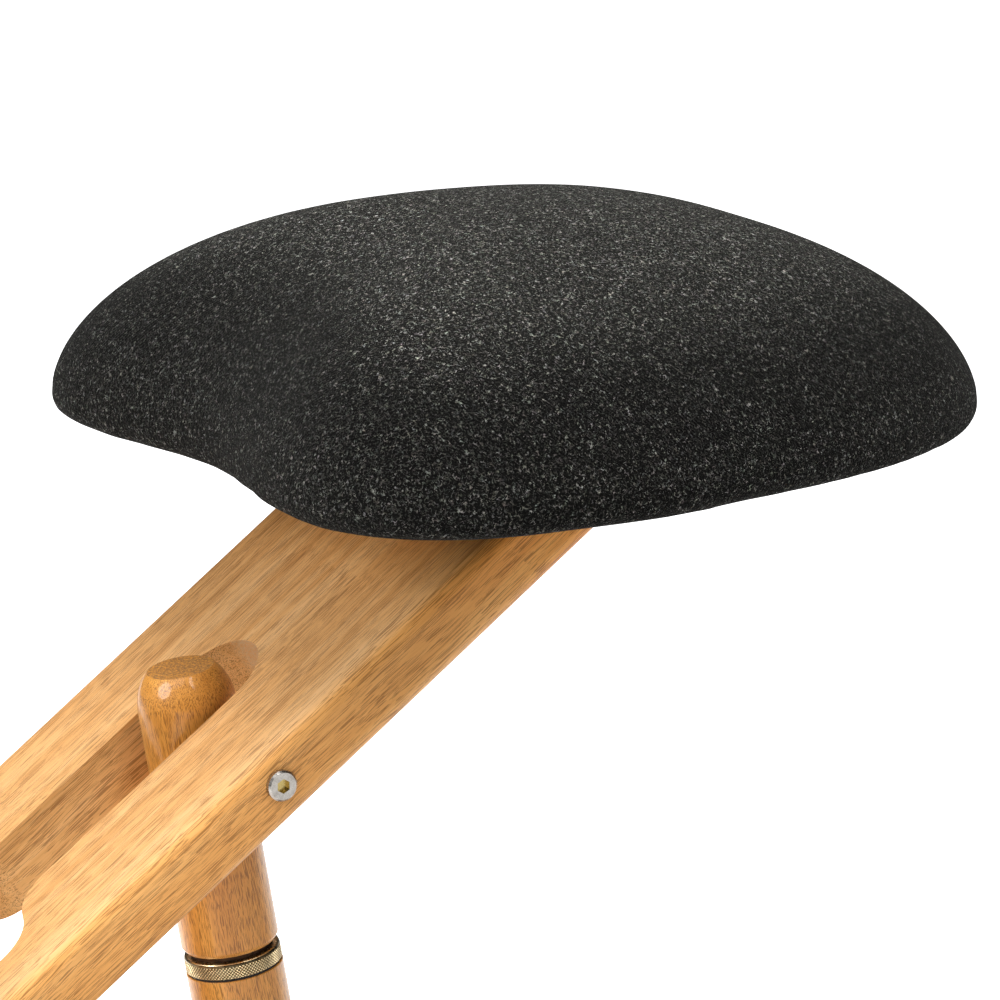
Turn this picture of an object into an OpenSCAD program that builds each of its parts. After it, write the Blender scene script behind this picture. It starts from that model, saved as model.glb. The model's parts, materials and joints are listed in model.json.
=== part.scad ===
// Kneeling chair: a sloping beam carries the seat and the front foot bar, and a plank that
// crosses it carries the knee cushion and the rear foot bar. A round strut joins the two.
// +Y points to the rear, X runs across and the floor is z = 0.

/* [Stance] */
// Height of the strut's pivot above the floor
pivot_h = 338; // [325:1:350]
// Slope of the main beam
beam_slope = 36.9; // [35:0.1:39]
// Lean of the strut, its foot to the rear
strut_lean = 10.2; // [8:0.1:12]
// Distance from the strut's pivot to the frame pivot and to the clamp
link_r = 215; // [210:1:220]

/* [Beam and plank] */
// Width of the main beam
beam_w = 166; // [160:1:176]
// Thickness of the beam and of the plank
wood_t = 31; // [28:0.5:33]
// Depth of the pivots below the top faces of the beam and the plank
pivot_depth = 14.5; // [13:0.5:16]
// Width of the beam's slot
slot_w = 48.5; // [46:0.5:50]
// Width of each prong beside the beam's window
prong_w = 29; // [27:0.5:32]
// Width of the slot in the plank
plank_slot_w = 50; // [48:1:52]

/* [Strut] */
// Diameter of the turned strut
strut_d = 41.5; // [39:0.5:43]
// Length of the strut above its pivot
stub_h = 32; // [28:1:36]
// Distance from the pivot to the lower end of the upper part
upper_end = 91.5; // [84:0.5:94]
// Height of the lock ring
ring_h = 7.2; // [6:0.2:9]

/* [Seat] */
// Half width of the seat
seat_half_w = 185; // [182:1:190]
// Height of the seat cushion
seat_h = 100; // [85:1:105]
// Forward tilt of the seat
seat_tilt = 1.5; // [1:0.5:3]

/* [Knee cushion] */
// Half width of the knee cushion
knee_half_w = 200; // [180:1:205]
// Length of the knee cushion
knee_len = 180; // [170:1:190]
// Height of the knee cushion
knee_h = 66; // [60:1:72]

/* [Feet] */
// Diameter of the foot bars
foot_d = 40; // [38:1:42]
// Length of the foot bars
foot_len = 440; // [400:5:450]

/* [Hidden] */
$fn = 64;

// Clearances: a fixed fit, a turning fit and the overrun of a cut past a face
fixed_gap = 0.1;
turn_gap = 0.1;
over = 1;

// Colours of the preview
wood = [0.84, 0.64, 0.40];
steel = [0.78, 0.78, 0.76];
brass = [0.66, 0.58, 0.40];
wool = [0.16, 0.16, 0.155];
foam = [0.9, 0.86, 0.7];
dark = [0.12, 0.12, 0.12];

// The fold is an isosceles triangle of strut pivot, frame pivot and clamp
apex_angle = 90 - beam_slope + strut_lean;
base_angle = (180 - apex_angle) / 2;
plank_slope = base_angle - beam_slope;
function span(fold) = 2 * link_r * cos(base_angle - fold);

// How far the plank folds up from rest, and how far it opens
fold_shut = 28;
fold_open = -6;

// Feet: a bar's axis lies below the middle of its board, half sunk into a saddle
pad_t = 3;
foot_r = foot_d / 2;
foot_z = foot_r + pad_t;
foot_drop = 30;
beam_foot = (pivot_h - foot_z - foot_drop * cos(beam_slope)) / sin(beam_slope);
frame_pivot_z = pivot_h - link_r * sin(beam_slope);
plank_foot = (frame_pivot_z - foot_z - foot_drop * cos(plank_slope)) / sin(plank_slope);

// Seat outline: right half, from the front's middle to the rear's middle, from the pivot
seat_rear = 342;
seat_half = [[0, 6], [43, 1], [84, -6], [126, -5], [160, 13], [180, 46], [seat_half_w, 90],
             [185, 131], [178, 176], [168, 221], [150, 265], [116, 310], [62, 338],
             [0, seat_rear]];
seat_mid = [0, 146];
seat_z = 119.5;

// Cushions: a quarter round low edge, a thin cover turned in below, on a board
low_r = 9;
cover_t = 3;
hem_t = 1.5;
hem_w = 24;
board_t = 12;

// The object's length runs from the beam's lower end to the seat's rear
beam_end = beam_foot + 26;
front_reach = beam_end * cos(beam_slope) + pivot_depth * sin(beam_slope);
rear_reach = seat_mid[1] + (seat_rear - seat_mid[1]) * cos(seat_tilt)
    - (low_r - hem_t) * sin(seat_tilt);
pivot_y = (front_reach - rear_reach) / 2;
frame_pivot_y = pivot_y - link_r * cos(beam_slope);
front_foot_y = pivot_y - beam_foot * cos(beam_slope) + foot_drop * sin(beam_slope);
rear_foot_y = frame_pivot_y + plank_foot * cos(plank_slope) - foot_drop * sin(plank_slope);

// Main beam: rounded long edges, a slot above and below the pivot, then a wider window.
// The plank's slot has a rounded rim
edge_r = 7.5;
rim_r = 1.2;
under_z = pivot_depth - wood_t;
mid_z = pivot_depth - wood_t / 2;
slot_up = 45;
slot_down = 89.5;
window_half = beam_w / 2 - prong_w;
window_top = 128.5;

// Shoulder between slot and window: an arc out, a short straight run and an arc back.
// The run ends just inside the arcs' circles, so that it crosses both
shoulder_r = 20;
shoulder_turn = 68;
shoulder_x = slot_w / 2 + shoulder_r;
inner_x = window_half - shoulder_r;
run_reach = (shoulder_r - 0.05) * [cos(shoulder_turn), sin(shoulder_turn)];
run_start = [shoulder_x, -slot_down] - run_reach;
run_end = [inner_x, -window_top] + run_reach;
window_end = beam_foot - 46;
window_r = 20;
end_r = 16;

// Wedge between the beam's top face and the seat's board
wedge_w = 112;
wedge_len = 52;
wedge_front = 130;

// Plank and its slot
plank_w = 2 * window_half - 2;
half_beam = beam_w / 2;
half_plank = plank_w / 2;
plank_front = 198;
plank_end = plank_foot + 30;
function strut_reach(fold) =
    (strut_d / 2 - under_z * cos(base_angle - fold)) / sin(base_angle - fold);
plank_slot_a = span(fold_open) - strut_reach(fold_open) - 6;
plank_slot_b = plank_foot - foot_r - 6;

// Strut: distances below its pivot
strut_r = strut_d / 2;
cap_r = strut_r - 6.5;
cap_h = 16;
cap_arc = (cap_h * cap_h + pow(strut_r - cap_r, 2)) / (2 * (strut_r - cap_r));
neck_h = 2.5;
ring_top = upper_end + neck_h;
ring_end = ring_top + ring_h;
washer_t = 0.8;
lower_top = ring_end + washer_t;
lower_end = link_r + 12;
tip_r = 15;
rod_d = 12;
rod_top = 55;
rod_end = lower_top + 60;
insert_d = 18;
insert_h = 22;
spot_d = 20;
spot_x = 18.5;

// Pivots: a sleeve with a head, and a screw that enters it from the other side
strut_pin_d = 10;
strut_head_d = 13;
frame_pin_d = 12;
frame_head_d = 18;
strut_screw_d = 6;
frame_screw_d = 8;
head_h = 3;
pivot_washer_t = 1.2;
bush_d = 16;
bush_len = 20;
bush_flange_t = 0.8;

// Clamp: its bolt sits in the strut and slides in the plank's cross slot
clamp_d = 8;
clamp_slot_h = 8.6;
clamp_play = 2;
clamp_seat = half_plank + 0.2;
clamp_washer_t = 1.5;
clamp_face = clamp_seat + clamp_washer_t;
knob_hub = 18;
knob_t = 16;
knob_lobes = 5;
lobe_r = 7;
knob_insert_d = 12;

// Forms and facets of the cushions, and the knee cushion's place
side_power = 1.95;
top_power = 1.8;
knee_power = 3.4;
low_steps = 3;
cushion_sides = 56;
cushion_rings = 11;
knee_start = 32;

// Cushion fasteners, in the seat's and the plank's own frames
bolt_d = 6;
bolt_head_d = 10;
bolt_head_h = 5;
tee_d = 8;
tee_len = 10;
tee_flange_d = 18;
tee_flange_t = 1.2;
seat_bolt_x = 42;
seat_bolts_at = [[-35, -38], [14, -10]];
knee_bolt_x = 35;
knee_bolts_at = [-75, -160];

// Foot fasteners
foot_bolt_d = 8;
foot_bolt_head_d = 14;
foot_bolt_head_h = 4;
barrel_d = 12;
barrel_len = 18;
front_bolt_x = 45;
rear_bolt_x = 34;
foot_pad_x = foot_len / 2 - 32;
foot_pad_len = 44;
foot_pad_w = 26;
foot_pad_h = 9;
foot_bevel = 3;

// ---- Frames of reference ----

// At the strut's pivot, Y up the beam and Z out of its top face
module beam_frame() translate([0, pivot_y, pivot_h]) rotate([beam_slope, 0, 0]) children();

// At the strut's pivot, Z up the strut
module strut_frame() translate([0, pivot_y, pivot_h]) rotate([strut_lean, 0, 0]) children();

// At the frame pivot, Y down the plank to the rear and Z out of its top face
module plank_frame() {
    translate([0, frame_pivot_y, frame_pivot_z]) rotate([-plank_slope, 0, 0]) children();
}

// On the underside of the seat's board, below the cushion's middle
module seat_frame() {
    translate([0, pivot_y + seat_mid[1], pivot_h + seat_z]) rotate([seat_tilt, 0, 0]) children();
}

// On the underside of the knee cushion's board, below the cushion's middle
module knee_frame() {
    plank_frame() translate([0, -knee_start - knee_len / 2, pivot_depth]) children();
}

// ---- Shapes used by several parts ----

// Cylinder along X between two places
module bar_x(d, x0, x1) translate([x0, 0, 0]) rotate([0, 90, 0]) cylinder(h = x1 - x0, d = d);

module both_sides() {
    children();
    mirror([1, 0, 0]) children();
}

// On a board's top face and mirrored on its underside, Z from the middle of the board
module both_faces() translate([0, 0, mid_z]) {
    children();
    mirror([0, 0, 1]) children();
}

module rounded_rect(w, h, r) {
    square([w - 2 * r, h], center = true);
    square([w, h - 2 * r], center = true);
    for (sx = [-1, 1], sy = [-1, 1])
        translate([sx * (w / 2 - r), sy * (h / 2 - r)]) circle(r);
}

// Board along Y with its four long edges rounded
module board(w, y0, y1) {
    translate([0, y1, mid_z]) rotate([90, 0, 0]) linear_extrude(y1 - y0)
        rounded_rect(w, wood_t, edge_r);
}

// Plan of a slot along Y with round ends
module slot_plan(w, y0, y1) {
    translate([-w / 2, y0 + w / 2]) square([w, y1 - y0 - w]);
    for (y = [y0 + w / 2, y1 - w / 2]) translate([0, y]) circle(d = w);
}

// Section that rounds an opening's rim: the wall is at x = 0 and the wood at x > 0
module rim_section() {
    difference() {
        translate([-over, wood_t / 2 - rim_r]) square([rim_r + over, rim_r + over]);
        translate([rim_r, wood_t / 2 - rim_r]) circle(rim_r);
    }
}

// Rim along a straight wall that runs up Y from y0 to y1, with the wood at x > x0
module rim_line(x0, y0, y1) {
    translate([x0, y1, 0]) rotate([90, 0, 0]) linear_extrude(y1 - y0) rim_section();
}

// Rim along an arc, with the wood outside it
module rim_arc(x, y, r, from, turn) {
    translate([x, y, 0]) rotate([0, 0, from]) rotate_extrude(angle = turn)
        translate([r, 0]) rim_section();
}

// Bolt along Z with its head below z = 0 and a socket in the head
module socket_bolt(d, len, head_d, head_h, key) {
    difference() {
        union() {
            cylinder(h = len, d = d);
            translate([0, 0, -head_h]) cylinder(h = 0.6, d1 = head_d - 1.2, d2 = head_d);
            translate([0, 0, 0.6 - head_h]) cylinder(h = head_h - 0.6, d = head_d);
        }
        translate([0, 0, -head_h - over]) cylinder(h = head_h * 0.6 + over, d = key, $fn = 6);
    }
}

// Round head on a pivot, its flat at x = 0 and its face at x = h, with a hexagon socket
module pivot_head(d, h, key, depth) {
    rotate([0, 90, 0]) difference() {
        union() {
            cylinder(h = h - 0.8, d = d);
            translate([0, 0, h - 0.8]) cylinder(h = 0.8, d1 = d, d2 = d - 1.6);
        }
        translate([0, 0, h - depth]) cylinder(h = depth + over, d = key, $fn = 6);
    }
}

module ring_x(od, id, x0, x1) {
    difference() {
        bar_x(od, x0, x1);
        bar_x(id, x0 - over, x1 + over);
    }
}

// Tee nut along Z, its flange on top and flush with z = board_t
module tee_nut() {
    difference() {
        union() {
            translate([0, 0, board_t - tee_len]) cylinder(h = tee_len, d = tee_d);
            translate([0, 0, board_t - tee_flange_t]) cylinder(h = tee_flange_t, d = tee_flange_d);
        }
        translate([0, 0, -over]) cylinder(h = board_t + 2 * over, d = bolt_d + fixed_gap);
    }
}

// What a tee nut and its bolt take out of a board
module tee_nut_room() {
    translate([0, 0, -over]) cylinder(h = board_t + 2 * over, d = tee_d + fixed_gap);
    translate([0, 0, board_t - tee_flange_t])
        cylinder(h = tee_flange_t + over, d = tee_flange_d + 2 * fixed_gap);
}

// ---- Cushion forms ----

function mirrored(half) =
    concat(half, [for (i = [len(half) - 2 : -1 : 1]) [-half[i][0], half[i][1]]]);

// Point on a closed smooth curve through the points p, at t from 0 to their number
function curve_point(p, t) =
    let (n = len(p), i = floor(t), f = t - i, a = p[(i + n - 1) % n], b = p[i % n],
         c = p[(i + 1) % n], d = p[(i + 2) % n])
    b + f / 2 * (c - a + f * (2 * a - 5 * b + 4 * c - d + f * (3 * (b - c) + d - a)));

// Seat outline about the cushion's middle
seat_control = mirrored(seat_half);
seat_plan = [for (i = [0 : cushion_sides - 1])
    curve_point(seat_control, i * len(seat_control) / cushion_sides) - seat_mid];

// Knee outline about the cushion's middle: a superellipse
function sign_pow(v, e) = sign(v) * pow(abs(v), e);
knee_plan = [for (i = [0 : cushion_sides - 1]) let (a = 360 * i / cushion_sides)
    [knee_half_w * sign_pow(cos(a), 2 / knee_power),
     knee_len / 2 * sign_pow(sin(a), 2 / knee_power)]];

// Rings of a cushion: [share of the plan, inset, height]. The low edge is a quarter round
function cushion_profile(z0, h) = concat(
    [for (k = [0 : low_steps]) let (a = 90 * k / low_steps)
        [1, low_r * (1 - sin(a)), z0 + low_r * (1 - cos(a))]],
    [for (k = [1 : cushion_rings - 1]) let (a = 90 * k / cushion_rings)
        [pow(cos(a), 2 / side_power), 0, z0 + low_r + (h - low_r) * pow(sin(a), 2 / top_power)]]);
function inset_plan(plan, share, inset) =
    [for (p = plan) p * share * (1 - inset / norm(p))];

// Crowned closed cushion on z = z0, its top h above that
module cushion(plan, z0, h, inset) {
    n = len(plan);
    rings = cushion_profile(z0, h);
    m = len(rings);
    points = concat(
        [for (r = rings, p = inset_plan(plan, r[0], r[1] + inset)) [p[0], p[1], r[2]]],
        [[0, 0, z0 + h]]);
    sides = [for (k = [0 : m - 2], i = [0 : n - 1], half = [0, 1])
        let (j = (i + 1) % n, a = k * n + i, b = a + n, c = k * n + n + j, d = k * n + j)
        half == 0 ? [a, b, c] : [a, c, d]];
    top = [for (i = [0 : n - 1]) [(m - 1) * n + (i + 1) % n, (m - 1) * n + i, m * n]];
    bottom = [[for (i = [0 : n - 1]) i]];
    polyhedron(points = points, faces = concat(bottom, sides, top), convexity = 4);
}

// Cover: a shell over board and foam, turned in under the board
module cushion_cover(plan, h) {
    difference() {
        cushion(plan, -hem_t, h, 0);
        cushion(plan, 0, h - hem_t - cover_t, cover_t);
        translate([0, 0, -hem_t - over]) linear_extrude(hem_t + 2 * over)
            polygon(inset_plan(plan, 1, hem_w + low_r));
    }
}

module cushion_foam(plan, h) {
    difference() {
        cushion(plan, 0, h - hem_t - cover_t - fixed_gap, cover_t + fixed_gap);
        translate([-300, -300, -over]) cube([600, 600, board_t + over]);
    }
}

module cushion_board(plan) {
    linear_extrude(board_t) polygon(inset_plan(plan, 1, low_r + cover_t + 1));
}

module cushion_lining(plan) {
    translate([0, 0, -1]) linear_extrude(1) polygon(inset_plan(plan, 1, hem_w + low_r + 1));
}

// ---- Places of the fasteners ----

module seat_bolt_places() {
    for (b = seat_bolts_at, sx = [-1, 1])
        seat_frame() translate([sx * seat_bolt_x, b[0], 0]) children();
}

module knee_bolt_places() {
    for (q = knee_bolts_at, sx = [-1, 1])
        plank_frame() translate([sx * knee_bolt_x, q, pivot_depth]) children();
}

// On the top face above a foot bar, Z down through board and bar
module front_bolt_places() {
    for (sx = [-1, 1]) beam_frame()
        translate([sx * front_bolt_x, -beam_foot, pivot_depth]) rotate([180, 0, 0]) children();
}

module rear_bolt_places() {
    for (sx = [-1, 1]) plank_frame()
        translate([sx * rear_bolt_x, plank_foot, pivot_depth]) rotate([180, 0, 0]) children();
}

module foot_bolt() {
    socket_bolt(foot_bolt_d, pivot_depth + foot_drop + barrel_d / 2, foot_bolt_head_d,
                foot_bolt_head_h, 5.8);
}

module foot_bolt_room() {
    translate([0, 0, -over]) cylinder(h = pivot_depth + foot_drop + 12, d = foot_bolt_d + fixed_gap);
}

// Barrel nut across the bolt, in the middle of the foot bar
module barrel_nut() {
    translate([0, 0, pivot_depth + foot_drop]) difference() {
        rotate([90, 0, 0]) cylinder(h = barrel_len, d = barrel_d, center = true);
        cylinder(h = 2 * barrel_d, d = foot_bolt_d + fixed_gap, center = true);
    }
}

module barrel_nut_room(side) {
    translate([0, 0, pivot_depth + foot_drop]) rotate([side * 90, 0, 0])
        translate([0, 0, -barrel_len / 2]) cylinder(h = foot_d, d = barrel_d + fixed_gap);
}

// ---- Wooden frame ----

// Slot, shoulders that widen it, and window
module window_plan() {
    slot_plan(slot_w, -slot_down - slot_w, slot_up);
    difference() {
        polygon([[-shoulder_x, -slot_down], [shoulder_x, -slot_down], run_start, run_end,
                 [inner_x, -window_top], [-inner_x, -window_top],
                 [-run_end[0], run_end[1]], [-run_start[0], run_start[1]]]);
        for (sx = [-1, 1]) translate([sx * shoulder_x, -slot_down]) circle(shoulder_r);
    }
    for (sx = [-1, 1]) translate([sx * inner_x, -window_top]) circle(shoulder_r);
    translate([-window_half, window_r - window_end])
        square([2 * window_half, window_end - window_r - window_top]);
    translate([window_r - window_half, -window_end])
        square([2 * (window_half - window_r), window_end - window_top]);
    for (sx = [-1, 1])
        translate([sx * (window_half - window_r), window_r - window_end]) circle(window_r);
}

// A board's plan with round corners at one end, reaching past its other end
module end_plan(w, y0, y1) {
    translate([-w / 2, y0 + end_r]) square([w, y1 - y0 - end_r]);
    translate([end_r - w / 2, y0]) square([w - 2 * end_r, end_r + over]);
    for (sx = [-1, 1]) translate([sx * (w / 2 - end_r), y0 + end_r]) circle(end_r);
}

module main_beam() color(wood) difference() {
    beam_frame() difference() {
        intersection() {
            board(beam_w, -beam_end, 280);
            linear_extrude(2 * wood_t, center = true) end_plan(beam_w, -beam_end, 281);
        }
        linear_extrude(2 * wood_t, center = true) window_plan();
        bar_x(strut_pin_d + fixed_gap, -beam_w, beam_w);
        translate([0, -link_r, 0]) bar_x(frame_pin_d + fixed_gap, -beam_w, beam_w);
        translate([0, -beam_foot, -foot_drop]) bar_x(foot_d, -beam_w, beam_w);
    }
    front_bolt_places() foot_bolt_room();
    seat_frame() translate([-200, -200, 0]) cube(400);
    seat_bolt_room();
}

// Clearance holes and deep counterbores below the seat's board
module seat_bolt_room() {
    for (b = seat_bolts_at, sx = [-1, 1])
        seat_frame() translate([sx * seat_bolt_x, b[0], 0]) {
            translate([0, 0, -90]) cylinder(h = 90 + over, d = bolt_d + 2 * fixed_gap);
            translate([0, 0, b[1] - 90]) cylinder(h = 90, d = bolt_head_d + 4);
        }
}

module seat_wedge() color(wood) difference() {
    beam_frame() translate([-wedge_w / 2, wedge_front, pivot_depth])
        cube([wedge_w, wedge_len + 20, 50]);
    seat_frame() translate([-200, -200, 0]) cube(400);
    seat_bolt_room();
}

module plank_rims() {
    both_faces() both_sides() {
        rim_line(plank_slot_w / 2, plank_slot_a + plank_slot_w / 2, plank_slot_b - plank_slot_w / 2);
        rim_arc(0, plank_slot_b - plank_slot_w / 2, plank_slot_w / 2, 0, 90);
        rim_arc(0, plank_slot_a + plank_slot_w / 2, plank_slot_w / 2, 270, 90);
    }
}

// Cross slot that lets the clamp's bolt travel along the plank
module clamp_slot() {
    y0 = span(fold_open) - clamp_d / 2 - clamp_play;
    y1 = span(fold_shut) + clamp_d / 2 + clamp_play;
    rotate([90, 0, 90]) linear_extrude(2 * plank_w, center = true)
        rotate([0, 0, -90]) slot_plan(clamp_slot_h, y0, y1);
}

module knee_plank() color(wood) difference() {
    plank_frame() difference() {
        intersection() {
            board(plank_w, -plank_front, plank_end);
            linear_extrude(2 * wood_t, center = true) mirror([0, 1, 0])
                end_plan(plank_w, -plank_end, plank_front + over);
        }
        linear_extrude(2 * wood_t, center = true) slot_plan(plank_slot_w, plank_slot_a, plank_slot_b);
        plank_rims();
        clamp_slot();
        bar_x(frame_pin_d + 1, -plank_w, plank_w);
        both_sides() bar_x(bush_d + fixed_gap, plank_w / 2 - bush_len, plank_w);
        translate([0, plank_foot, -foot_drop]) bar_x(foot_d, -plank_w, plank_w);
    }
    rear_bolt_places() foot_bolt_room();
    knee_bolt_places() translate([0, 0, -2 * wood_t])
        cylinder(h = 3 * wood_t, d = bolt_d + 2 * fixed_gap);
}

// ---- Seat ----

module seat_board() color(wood) difference() {
    seat_frame() cushion_board(seat_plan);
    seat_bolt_places() tee_nut_room();
}

module seat_foam() color(foam) seat_frame() cushion_foam(seat_plan, seat_h);

module seat_cover() color(wool) seat_frame() cushion_cover(seat_plan, seat_h);

// Cloth under the board, cut out round the beam and the wedge
module seat_underlining() color(dark) seat_frame() difference() {
    cushion_lining(seat_plan);
    translate([-beam_w / 2 - 1, -74, -2]) cube([beam_w + 2, 118, 4]);
}

module seat_bolts() color(steel) {
    for (b = seat_bolts_at, sx = [-1, 1])
        seat_frame() translate([sx * seat_bolt_x, b[0], b[1]])
            socket_bolt(bolt_d, board_t - 1 - b[1], bolt_head_d, bolt_head_h, 5.8);
}

module seat_tee_nuts() color(steel) seat_bolt_places() tee_nut();

// ---- Foot bars ----

// Turned bar with bevelled ends, bored for its bolts and barrel nuts
module foot_bar() {
    bar_x(foot_d, foot_bevel - foot_len / 2, foot_len / 2 - foot_bevel);
    both_sides() translate([foot_len / 2 - foot_bevel, 0, 0]) rotate([0, 90, 0])
        cylinder(h = foot_bevel, d1 = foot_d, d2 = foot_d - 2 * foot_bevel);
}

module foot_pads(y) {
    for (sx = [-1, 1]) difference() {
        translate([sx * foot_pad_x, y, 0]) linear_extrude(foot_pad_h)
            rounded_rect(foot_pad_len, foot_pad_w, 5);
        translate([0, y, foot_z]) bar_x(foot_d, -foot_len, foot_len);
    }
}

module front_foot_bar() color(wood) difference() {
    translate([0, front_foot_y, foot_z]) foot_bar();
    front_bolt_places() foot_bolt_room();
    front_bolt_places() barrel_nut_room(1);
}

module front_foot_pads() color(dark) foot_pads(front_foot_y);

module front_foot_bolts() color(steel) front_bolt_places() foot_bolt();

module front_foot_barrel_nuts() color(steel) front_bolt_places() barrel_nut();

module rear_foot_bar() color(wood) difference() {
    translate([0, rear_foot_y, foot_z]) foot_bar();
    rear_bolt_places() foot_bolt_room();
    rear_bolt_places() barrel_nut_room(-1);
}

module rear_foot_pads() color(dark) foot_pads(rear_foot_y);

module rear_foot_bolts() color(steel) rear_bolt_places() foot_bolt();

module rear_foot_barrel_nuts() color(steel) rear_bolt_places() barrel_nut();

// ---- Strut pivot and frame pivot ----

module at_strut_pivot() translate([0, pivot_y, pivot_h]) children();
module at_frame_pivot() translate([0, frame_pivot_y, frame_pivot_z]) children();

// Sleeve across the beam, with a head at +X and a threaded bore at its other end
module sleeve(d, screw_d, head_d, seat_x, key) {
    difference() {
        bar_x(d, 3 - half_beam, seat_x);
        bar_x(screw_d + fixed_gap, -half_beam, -10);
    }
    translate([seat_x, 0, 0]) pivot_head(head_d, head_h, key, 2.4);
}

module sleeve_screw(screw_d, head_d, seat_x, key) {
    bar_x(screw_d, -seat_x, -20);
    mirror([1, 0, 0]) translate([seat_x, 0, 0]) pivot_head(head_d, head_h, key, 2.4);
}

module strut_pivot_sleeve() color(steel) at_strut_pivot()
    sleeve(strut_pin_d, strut_screw_d, strut_head_d, half_beam, 6.2);

module strut_pivot_screw() color(steel) at_strut_pivot()
    sleeve_screw(strut_screw_d, strut_head_d, half_beam, 6.2);

module strut_pivot_spacers() color(dark) at_strut_pivot() both_sides()
    ring_x(spot_d - 2, strut_pin_d + turn_gap, spot_x + fixed_gap, slot_w / 2 - fixed_gap / 2);

module frame_pivot_sleeve() color(steel) at_frame_pivot()
    sleeve(frame_pin_d, frame_screw_d, frame_head_d, half_beam + pivot_washer_t, 7);

module frame_pivot_screw() color(steel) at_frame_pivot()
    sleeve_screw(frame_screw_d, frame_head_d, half_beam + pivot_washer_t, 7);

module frame_pivot_washers() color(steel) at_frame_pivot() both_sides()
    ring_x(frame_head_d + 6, frame_pin_d + turn_gap, half_beam, half_beam + pivot_washer_t);

module frame_pivot_bushes() color(dark) at_frame_pivot() both_sides() {
    ring_x(bush_d, frame_pin_d + turn_gap, half_plank - bush_len, half_plank);
    ring_x(bush_d + 8, frame_pin_d + turn_gap, half_plank, half_plank + bush_flange_t);
}

// ---- Strut ----

module strut_upper() color(wood) strut_frame() difference() {
    rotate_extrude() {
        translate([0, 1.8 - upper_end]) square([strut_r, upper_end - 1.8 + stub_h - cap_h]);
        polygon([[0, -upper_end], [strut_r - 1.2, -upper_end], [strut_r, 1.8 - upper_end],
                 [0, 1.8 - upper_end]]);
        intersection() {
            translate([strut_r - cap_arc, stub_h - cap_h]) circle(cap_arc);
            translate([0, stub_h - cap_h]) square([strut_r, cap_h]);
        }
    }
    bar_x(strut_pin_d + turn_gap, -strut_d, strut_d);
    both_sides() bar_x(spot_d, spot_x, strut_d);
    translate([0, 0, -upper_end - over]) cylinder(h = insert_h + over, d = insert_d + fixed_gap);
    translate([0, 0, -upper_end - over]) cylinder(h = upper_end + over - rod_top + 3, d = rod_d + 1);
}

module strut_upper_insert() color(brass) strut_frame() difference() {
    union() {
        translate([0, 0, -upper_end]) cylinder(h = insert_h, d = insert_d);
        translate([0, 0, -ring_top]) cylinder(h = neck_h, d = strut_d - 6);
    }
    translate([0, 0, -ring_top - over]) cylinder(h = 2 * insert_h, d = rod_d + fixed_gap);
}

module strut_rod() color(steel) strut_frame()
    translate([0, 0, -rod_end]) cylinder(h = rod_end - rod_top, d = rod_d);

// Collar with a bevelled top, turned by hand to lock the strut's length
module lock_ring() color(brass) strut_frame() rotate_extrude() {
    r = strut_r - 0.1;
    z0 = -ring_end + turn_gap;
    z1 = -ring_top - turn_gap;
    bore = (rod_d + turn_gap) / 2;
    polygon([[bore, z0], [r - 0.6, z0], [r, z0 + 0.6], [r, z1 - 2.2], [r - 1.6, z1], [bore, z1]]);
}

module ring_washer() color(dark) strut_frame() difference() {
    translate([0, 0, -lower_top]) cylinder(h = washer_t, d = strut_d - 1.6);
    translate([0, 0, -lower_top - over]) cylinder(h = 5, d = rod_d + fixed_gap);
}

module strut_lower() color(wood) strut_frame() difference() {
    rotate_extrude() polygon([[0, -lower_end], [tip_r - 4, -lower_end], [tip_r, 4 - lower_end],
                              [strut_r, -link_r - 2], [strut_r, -lower_top - 0.3],
                              [strut_r - 0.3, -lower_top], [0, -lower_top]]);
    translate([0, 0, -link_r]) bar_x(clamp_d + fixed_gap, -strut_d, strut_d);
    translate([0, 0, -lower_top - insert_h])
        cylinder(h = insert_h + over, d = insert_d + fixed_gap);
    translate([0, 0, -rod_end - 3]) cylinder(h = rod_end, d = rod_d + 1);
}

module strut_lower_insert() color(brass) strut_frame()
    translate([0, 0, -lower_top - insert_h]) difference() {
        cylinder(h = insert_h, d = insert_d);
        translate([0, 0, -over]) cylinder(h = insert_h + 2 * over, d = rod_d + fixed_gap);
    }

// ---- Clamp ----

module at_clamp() strut_frame() translate([0, 0, -link_r]) children();

module clamp_bolt() color(steel) at_clamp() {
    bar_x(clamp_d, -clamp_face, clamp_face + knob_t + 2);
    mirror([1, 0, 0]) translate([clamp_face, 0, 0]) pivot_head(18, 4, 6.2, 2.4);
}

module clamp_washers() color(steel) at_clamp() both_sides()
    ring_x(22, clamp_d + fixed_gap, clamp_seat, clamp_face);

module clamp_knob() color(dark) at_clamp() difference() {
    translate([clamp_face + turn_gap, 0, 0]) rotate([0, 90, 0]) {
        cylinder(h = knob_t, r = knob_hub);
        for (k = [0 : knob_lobes - 1]) rotate([0, 0, 360 / knob_lobes * k])
            translate([knob_hub - 1, 0, 3]) cylinder(h = knob_t - 4, r = lobe_r);
    }
    bar_x(knob_insert_d + fixed_gap, clamp_face - over, clamp_face + knob_t + over);
}

module clamp_knob_insert() color(brass) at_clamp()
    ring_x(knob_insert_d, clamp_d + turn_gap, clamp_face + turn_gap, clamp_face + knob_t);

// ---- Knee cushion ----

module knee_board() color(wood) difference() {
    knee_frame() cushion_board(knee_plan);
    knee_bolt_places() tee_nut_room();
}

module knee_foam() color(foam) knee_frame() cushion_foam(knee_plan, knee_h);

// The cloth under the board is left out where the plank crosses it
module knee_cover() color(wool) difference() {
    knee_frame() cushion_cover(knee_plan, knee_h);
    plank_room(0.5);
}

module knee_underlining() color(dark) difference() {
    knee_frame() cushion_lining(knee_plan);
    plank_room(1);
}

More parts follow.
